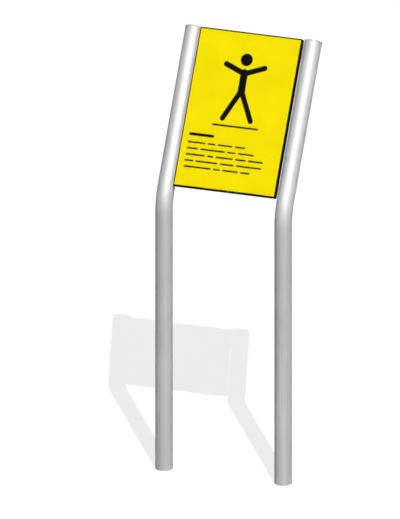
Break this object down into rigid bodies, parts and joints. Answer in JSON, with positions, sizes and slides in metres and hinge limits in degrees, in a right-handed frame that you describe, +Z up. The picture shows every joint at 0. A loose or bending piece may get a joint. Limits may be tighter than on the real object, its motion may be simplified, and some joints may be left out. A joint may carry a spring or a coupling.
{
  "type": "station sign",
  "caption": "Outdoor station sign: a two-coloured board leaning back between bent round tube posts, held by lugs and bolts from behind.",
  "frame": {"origin": "on the ground, midway between the axes of the two posts", "axes": "+Z up, +X to the reader's right, -Y towards the reader"},
  "size_m": [0.4958, 0.3604, 1.5264],
  "materials": {
    "post_steel": "satin ground stainless steel",
    "cap_steel": "satin stainless steel, turned",
    "disc_steel": "plain cut stainless steel",
    "lug_steel": "satin stainless steel flat bar",
    "weld_steel": "rippled weld bead, brushed clean",
    "board_black": "black polyethylene, fine pebble",
    "board_yellow": "yellow polyethylene, fine pebble",
    "insert_brass": "plain turned brass",
    "fastener_steel": "plain stainless steel"
  },
  "bodies": {
    "root": {"left_post": "post_steel", "right_post": "post_steel", "left_post_cap": "cap_steel", "right_post_cap": "cap_steel", "left_foot_disc": "disc_steel", "right_foot_disc": "disc_steel", "foot_welds": "weld_steel", "upper_left_lug": "lug_steel", "lower_left_lug": "lug_steel", "upper_right_lug": "lug_steel", "lower_right_lug": "lug_steel", "lug_welds": "weld_steel", "core_board": "board_black", "face_layer": "board_yellow", "threaded_inserts": "insert_brass", "panel_bolts": "fastener_steel", "panel_washers": "fastener_steel"}
  },
  "joints": []
}
